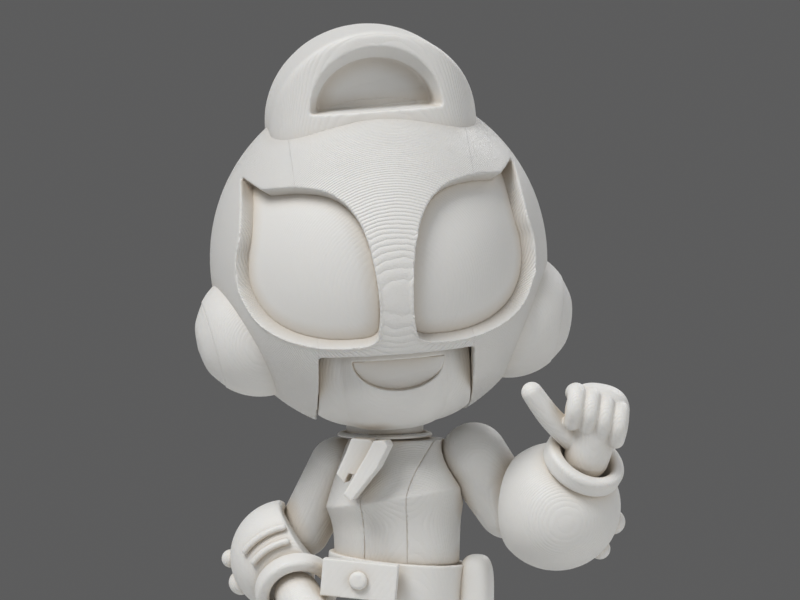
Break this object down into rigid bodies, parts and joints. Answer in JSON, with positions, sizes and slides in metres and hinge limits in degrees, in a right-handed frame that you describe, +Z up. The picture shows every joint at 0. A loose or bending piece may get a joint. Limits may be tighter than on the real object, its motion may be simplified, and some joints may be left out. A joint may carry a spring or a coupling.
{
  "type": "helmeted humanoid robot figure",
  "caption": "Small printed helmeted humanoid robot figure with an arch-shaped crest, big recessed eye lenses, ear pods, bulbous gauntlets, belt and boots, posed with a raised fist.",
  "frame": {"origin": "centre of the figure's box, on the surface that its soles stand on", "axes": "+Z up, -Y the way the figure faces, +X towards the figure's left"},
  "size_m": [0.0514, 0.0404, 0.0946],
  "materials": {
    "legs": "matte, with fine printing lines",
    "inner": "matte, with fine printing lines",
    "jacket": "matte, with fine printing lines",
    "scarf": "matte, with fine printing lines",
    "belt": "matte, with fine printing lines",
    "face": "matte, with fine printing lines",
    "helmet": "matte, with fine printing lines",
    "lens": "matte, with fine printing lines",
    "mouth": "matte, with fine printing lines",
    "crest": "matte, with fine printing lines",
    "ears": "matte, with fine printing lines",
    "sleeves": "matte, with fine printing lines",
    "gauntlets": "matte, with fine printing lines",
    "hands": "matte, with fine printing lines",
    "boots": "matte, with fine printing lines"
  },
  "bodies": {
    "pelvis": {"pelvis": "legs"},
    "torso": {"torso_core": "inner", "jacket_front": "jacket", "jacket_left": "jacket", "jacket_right": "jacket", "jacket_back": "jacket", "collar": "jacket", "scarf_end": "scarf", "scarf_tail": "scarf", "belt": "belt", "buckle": "belt", "buckle_boss": "belt", "hip_pouch": "belt"},
    "neck": {"neck_post": "face"},
    "head": {"head_core": "inner", "helmet_front": "helmet", "helmet_side_left": "helmet", "helmet_side_right": "helmet", "helmet_back": "helmet", "lens_left": "lens", "lens_right": "lens", "face_plate": "face", "mouth_inlay": "mouth", "crest": "crest", "ear_ring_left": "ears", "ear_ring_right": "ears", "ear_cap_left": "ears", "ear_cap_right": "ears"},
    "shoulder_left": {"shoulder_left": "inner"},
    "upper_arm_left": {"upper_arm_left": "sleeves"},
    "forearm_left": {"gauntlet_left": "gauntlets", "cuff_left": "gauntlets", "knob_a_left": "gauntlets", "knob_b_left": "gauntlets"},
    "hand_left": {"hand_left": "hands"},
    "thigh_left": {"thigh_left": "legs"},
    "shin_left": {"boot_left": "boots", "boot_ring_left": "boots"},
    "foot_left": {"shoe_left": "boots", "sole_left": "boots"},
    "shoulder_right": {"shoulder_right": "inner"},
    "upper_arm_right": {"upper_arm_right": "sleeves"},
    "forearm_right": {"gauntlet_right": "gauntlets", "cuff_right": "gauntlets", "knob_a_right": "gauntlets", "knob_b_right": "gauntlets", "vent_bar_a": "gauntlets", "vent_bar_b": "gauntlets"},
    "hand_right": {"hand_right": "hands"},
    "thigh_right": {"thigh_right": "legs"},
    "shin_right": {"boot_right": "boots", "boot_ring_right": "boots"},
    "foot_right": {"shoe_right": "boots", "sole_right": "boots"}
  },
  "joints": [
    {"name": "waist_turn", "type": "hinge", "parent": "pelvis", "child": "torso", "pos_m": [-0.00155, 0, 0.03], "axis": [0, 0, 1], "range_deg": [-30, 30]},
    {"name": "neck_turn", "type": "hinge", "parent": "torso", "child": "neck", "pos_m": [-0.00301, 0.00081, 0.05505], "axis": [0, 0, 1], "range_deg": [-25, 35]},
    {"name": "head_nod", "type": "hinge", "parent": "neck", "child": "head", "pos_m": [-0.00301, 0.00081, 0.05505], "axis": [0.993, 0.0958, 0.0694], "range_deg": [-10, 5]},
    {"name": "shoulder_swing_left", "type": "hinge", "parent": "torso", "child": "shoulder_left", "pos_m": [0.00755, -0.0014, 0.0433], "axis": [-0.9744, 0.225, 0], "range_deg": [-45, 10]},
    {"name": "arm_raise_left", "type": "hinge", "parent": "shoulder_left", "child": "upper_arm_left", "pos_m": [0.00755, -0.0014, 0.0433], "axis": [-0.225, -0.9744, 0], "range_deg": [0, 25]},
    {"name": "elbow_left", "type": "hinge", "parent": "upper_arm_left", "child": "forearm_left", "pos_m": [0.01165, -0.001, 0.0372], "axis": [-0.464, -0.8072, -0.3648], "range_deg": [-40, 0]},
    {"name": "wrist_turn_left", "type": "hinge", "parent": "forearm_left", "child": "hand_left", "pos_m": [0.02062, -0.00898, 0.04378], "axis": [0.4006, -0.5458, 0.736], "range_deg": [-60, 60]},
    {"name": "hip_swing_left", "type": "hinge", "parent": "pelvis", "child": "thigh_left", "pos_m": [0.00335, 0, 0.0208], "axis": [-1, 0, 0], "range_deg": [-35, 35]},
    {"name": "knee_left", "type": "hinge", "parent": "thigh_left", "child": "shin_left", "pos_m": [0.00485, -0.0002, 0.0146], "axis": [1, 0, 0], "range_deg": [0, 20]},
    {"name": "ankle_turn_left", "type": "hinge", "parent": "shin_left", "child": "foot_left", "pos_m": [0.00535, 0, 0], "axis": [0, 0, 1], "range_deg": [-10, 30]},
    {"name": "shoulder_swing_right", "type": "hinge", "parent": "torso", "child": "shoulder_right", "pos_m": [-0.00865, 0.0032, 0.0418], "axis": [-0.9744, 0.225, 0], "range_deg": [0, 5]},
    {"name": "arm_raise_right", "type": "hinge", "parent": "shoulder_right", "child": "upper_arm_right", "pos_m": [-0.00865, 0.0032, 0.0418], "axis": [0.225, 0.9744, 0], "range_deg": [0, 30]},
    {"name": "elbow_right", "type": "hinge", "parent": "upper_arm_right", "child": "forearm_right", "pos_m": [-0.01275, 0.0042, 0.0339], "axis": [-0.8769, 0.1072, 0.4686], "range_deg": [-20, 0]},
    {"name": "wrist_turn_right", "type": "hinge", "parent": "forearm_right", "child": "hand_right", "pos_m": [-0.01332, -0.00532, 0.02732], "axis": [0.1802, -0.8408, -0.5105], "range_deg": [-60, 15]},
    {"name": "hip_swing_right", "type": "hinge", "parent": "pelvis", "child": "thigh_right", "pos_m": [-0.00645, 0, 0.0208], "axis": [-1, 0, 0], "range_deg": [-35, 35]},
    {"name": "knee_right", "type": "hinge", "parent": "thigh_right", "child": "shin_right", "pos_m": [-0.00795, -0.0002, 0.0146], "axis": [1, 0, 0], "range_deg": [0, 20]},
    {"name": "ankle_turn_right", "type": "hinge", "parent": "shin_right", "child": "foot_right", "pos_m": [-0.00845, 0, 0], "axis": [0, 0, -1], "range_deg": [-10, 30]}
  ]
}
